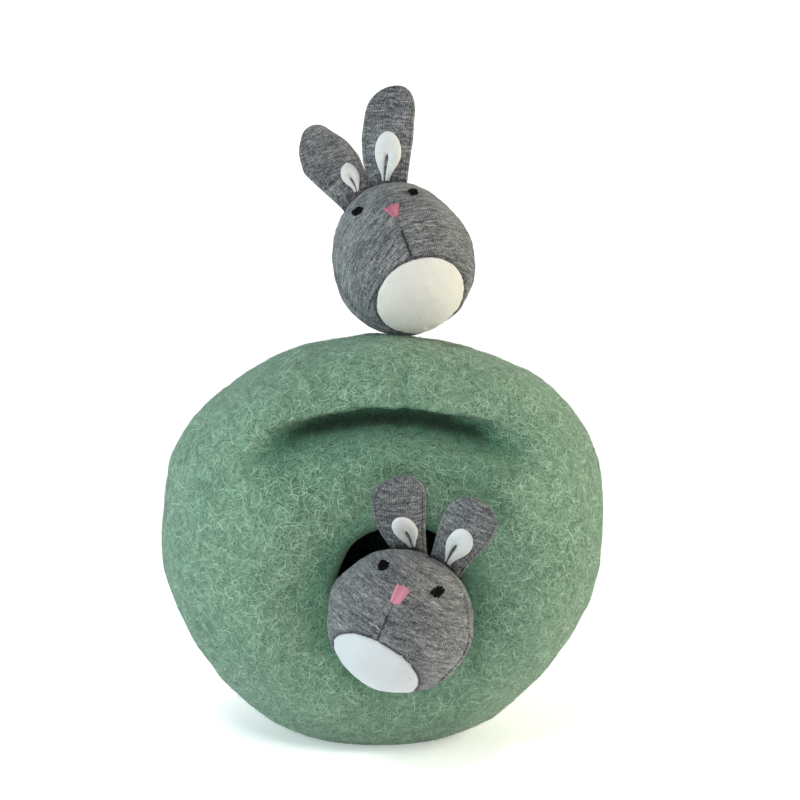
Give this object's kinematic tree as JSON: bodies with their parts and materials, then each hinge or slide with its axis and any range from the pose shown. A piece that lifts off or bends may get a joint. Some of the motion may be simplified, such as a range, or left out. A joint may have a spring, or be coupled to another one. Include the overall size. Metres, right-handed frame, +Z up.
{
  "type": "felt burrow play set with stuffed bunnies",
  "caption": "Hollow green felt burrow with a round hole and a folded brow, and small stuffed grey jersey bunnies: one on the roof, one peeking out of the hole.",
  "frame": {"origin": "middle of the felt burrow's flat base, on the surface that it stands on", "axes": "+Z up, -Y towards the front where the round hole is, +X to the right as seen from the front"},
  "size_m": [0.1997, 0.184, 0.2922],
  "materials": {
    "green_felt": "thick wet-felted sage green wool with loose curled surface fibres",
    "grey_jersey": "grey melange sock jersey, fine wales, short darker and lighter streaks",
    "white_jersey": "off-white fine-ribbed jersey",
    "black_thread": "black embroidery thread in satin stitch",
    "pink_thread": "pink embroidery thread in satin stitch",
    "white_thread": "off-white sewing thread",
    "fibre_fill": "white polyester fibre fill"
  },
  "bodies": {
    "burrow": {"felt_burrow": "green_felt"},
    "roof_bunny": {"roof_bunny_left_front_panel": "grey_jersey", "roof_bunny_right_front_panel": "grey_jersey", "roof_bunny_left_back_panel": "grey_jersey", "roof_bunny_right_back_panel": "grey_jersey", "roof_bunny_belly_patch": "white_jersey", "roof_bunny_stuffing": "fibre_fill", "roof_bunny_left_eye": "black_thread", "roof_bunny_right_eye": "black_thread", "roof_bunny_nose": "pink_thread", "roof_bunny_mouth_seam": "black_thread", "roof_bunny_closing_stitch": "white_thread"},
    "peek_bunny": {"peek_bunny_left_front_panel": "grey_jersey", "peek_bunny_right_front_panel": "grey_jersey", "peek_bunny_left_back_panel": "grey_jersey", "peek_bunny_right_back_panel": "grey_jersey", "peek_bunny_belly_patch": "white_jersey", "peek_bunny_stuffing": "fibre_fill", "peek_bunny_left_eye": "black_thread", "peek_bunny_right_eye": "black_thread", "peek_bunny_nose": "pink_thread", "peek_bunny_mouth_seam": "black_thread", "peek_bunny_closing_stitch": "white_thread"},
    "roof_bunny_left_ear": {"roof_bunny_left_ear_front": "grey_jersey", "roof_bunny_left_ear_back": "grey_jersey", "roof_bunny_left_ear_lining": "white_jersey"},
    "roof_bunny_right_ear": {"roof_bunny_right_ear_front": "grey_jersey", "roof_bunny_right_ear_back": "grey_jersey", "roof_bunny_right_ear_lining": "white_jersey"},
    "peek_bunny_left_ear": {"peek_bunny_left_ear_front": "grey_jersey", "peek_bunny_left_ear_back": "grey_jersey", "peek_bunny_left_ear_lining": "white_jersey"},
    "peek_bunny_right_ear": {"peek_bunny_right_ear_front": "grey_jersey", "peek_bunny_right_ear_back": "grey_jersey", "peek_bunny_right_ear_lining": "white_jersey"}
  },
  "joints": [
    {"name": "roof_bunny_lift", "type": "slide", "parent": "burrow", "child": "roof_bunny", "axis": [0, 0, 1], "range_m": [0, 0.12]},
    {"name": "peek_bunny_pull_out", "type": "slide", "parent": "burrow", "child": "peek_bunny", "axis": [0, -1, 0], "range_m": [0, 0.12]},
    {"name": "roof_bunny_left_ear_bend", "type": "hinge", "parent": "roof_bunny", "child": "roof_bunny_left_ear", "pos_m": [-0.01468, 0.01942, 0.24537], "axis": [0.914, 0.3294, 0.237], "range_deg": [-35, 35], "stiffness_Nm_per_rad": 0.02},
    {"name": "roof_bunny_right_ear_bend", "type": "hinge", "parent": "roof_bunny", "child": "roof_bunny_right_ear", "pos_m": [0.00418, 0.02325, 0.25151], "axis": [0.9928, -0.1168, -0.0247], "range_deg": [-35, 35], "stiffness_Nm_per_rad": 0.02},
    {"name": "peek_bunny_left_ear_bend", "type": "hinge", "parent": "peek_bunny", "child": "peek_bunny_left_ear", "pos_m": [0.01148, -0.06639, 0.10258], "axis": [0.9937, -0.0697, 0.0875], "range_deg": [-20, 20], "stiffness_Nm_per_rad": 0.02},
    {"name": "peek_bunny_right_ear_bend", "type": "hinge", "parent": "peek_bunny", "child": "peek_bunny_right_ear", "pos_m": [0.03266, -0.07232, 0.09646], "axis": [0.8965, -0.1506, -0.4167], "range_deg": [-20, 25], "stiffness_Nm_per_rad": 0.02}
  ]
}
